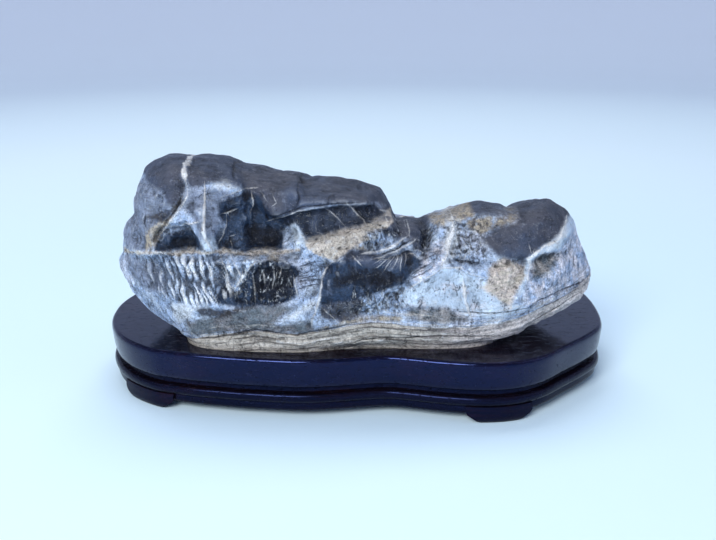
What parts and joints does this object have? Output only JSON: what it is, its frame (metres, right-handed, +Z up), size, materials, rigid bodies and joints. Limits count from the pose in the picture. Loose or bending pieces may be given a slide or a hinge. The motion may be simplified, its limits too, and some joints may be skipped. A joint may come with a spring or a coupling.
{
  "type": "scholars rock with stand",
  "caption": "Natural banded viewing stone, long and ridged like a mountain, seated in a low kidney-shaped dark wood stand on bracket feet.",
  "frame": {"origin": "on the ground, under the middle of the stand's bounding box", "axes": "+Z up, +X along the rock's length towards its lower end, -Y towards the viewer of its best face"},
  "size_m": [0.2846, 0.1404, 0.1303],
  "materials": {
    "rock": "worn smooth, satin, with rough veins and banding",
    "stand_top": "near-black stained hardwood, waxed",
    "stand_base": "near-black stained hardwood, waxed",
    "feet": "near-black stained hardwood, waxed"
  },
  "bodies": {
    "root": {"rock": "rock", "stand_top": "stand_top", "stand_base": "stand_base", "foot_front_left": "feet", "foot_front_right": "feet", "foot_back_left": "feet", "foot_back_right": "feet"}
  },
  "joints": []
}
